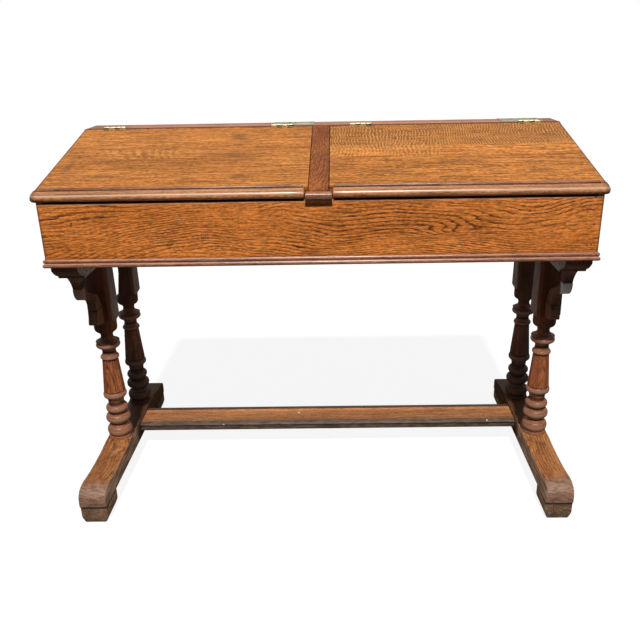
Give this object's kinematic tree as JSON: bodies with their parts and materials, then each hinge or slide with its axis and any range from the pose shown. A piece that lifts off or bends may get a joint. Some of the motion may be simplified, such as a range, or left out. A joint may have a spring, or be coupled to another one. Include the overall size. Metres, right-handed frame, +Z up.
{
  "type": "double school desk",
  "caption": "Oak school desk for two pupils: a shallow box with sloping hinged lids and an inkwell ledge, on turned trestle legs with console brackets, sled feet and a stretcher.",
  "frame": {"origin": "on the floor under the middle of the feet", "axes": "+X to the right-hand pupil, +Y from the pupils' side to the back ledge, +Z up"},
  "size_m": [1.144, 0.588, 0.8489],
  "materials": {
    "oak_front": "worn orange-brown varnish",
    "oak_lid": "satin golden varnish with ray fleck",
    "oak_red": "reddish brown stain and varnish",
    "oak_dark": "dark brown stain and varnish",
    "oak_raw": "unvarnished inside",
    "brass": "aged brass",
    "steel_pin": "plain drawn pin",
    "ceramic": "glazed white ware"
  },
  "bodies": {
    "desk": {"front_board": "oak_front", "back_board": "oak_front", "left_side_board": "oak_front", "right_side_board": "oak_front", "bottom_board": "oak_raw", "centre_partition": "oak_raw", "centre_muntin": "oak_red", "muntin_cap": "oak_dark", "left_ledge": "oak_red", "right_ledge": "oak_red", "front_base_moulding": "oak_red", "left_base_moulding": "oak_red", "right_base_moulding": "oak_red", "left_bearer": "oak_dark", "right_bearer": "oak_dark", "left_console": "oak_dark", "right_console": "oak_dark", "left_foot": "oak_red", "right_foot": "oak_red", "left_front_pad": "oak_red", "left_back_pad": "oak_red", "right_front_pad": "oak_red", "right_back_pad": "oak_red", "left_front_leg": "oak_dark", "left_back_leg": "oak_dark", "right_front_leg": "oak_dark", "right_back_leg": "oak_dark", "stretcher": "oak_red", "left_ink_plate": "brass", "right_ink_plate": "brass", "left_inkwell": "ceramic", "right_inkwell": "ceramic", "left_hinge_1_fixed_leaf": "brass", "left_hinge_1_pin": "steel_pin", "left_hinge_2_fixed_leaf": "brass", "left_hinge_2_pin": "steel_pin", "right_hinge_1_fixed_leaf": "brass", "right_hinge_1_pin": "steel_pin", "right_hinge_2_fixed_leaf": "brass", "right_hinge_2_pin": "steel_pin"},
    "left_lid": {"left_lid_board": "oak_lid", "left_lid_nosing": "oak_red", "left_pen_stop": "oak_red", "left_hinge_1_moving_leaf": "brass", "left_hinge_2_moving_leaf": "brass"},
    "right_lid": {"right_lid_board": "oak_lid", "right_lid_nosing": "oak_red", "right_pen_stop": "oak_red", "right_hinge_1_moving_leaf": "brass", "right_hinge_2_moving_leaf": "brass"},
    "left_cover": {"left_ink_cover": "brass"},
    "right_cover": {"right_ink_cover": "brass"}
  },
  "joints": [
    {"name": "left_lid_hinge", "type": "hinge", "parent": "desk", "child": "left_lid", "pos_m": [-0.29575, 0.107, 0.8459], "axis": [-1, 0, 0], "range_deg": [0, 110]},
    {"name": "right_lid_hinge", "type": "hinge", "parent": "desk", "child": "right_lid", "pos_m": [0.29575, 0.107, 0.8459], "axis": [-1, 0, 0], "range_deg": [0, 110]},
    {"name": "left_ink_slide", "type": "slide", "parent": "desk", "child": "left_cover", "axis": [1, 0, 0], "range_m": [0, 0.046]},
    {"name": "right_ink_slide", "type": "slide", "parent": "desk", "child": "right_cover", "axis": [1, 0, 0], "range_m": [0, 0.046]}
  ]
}
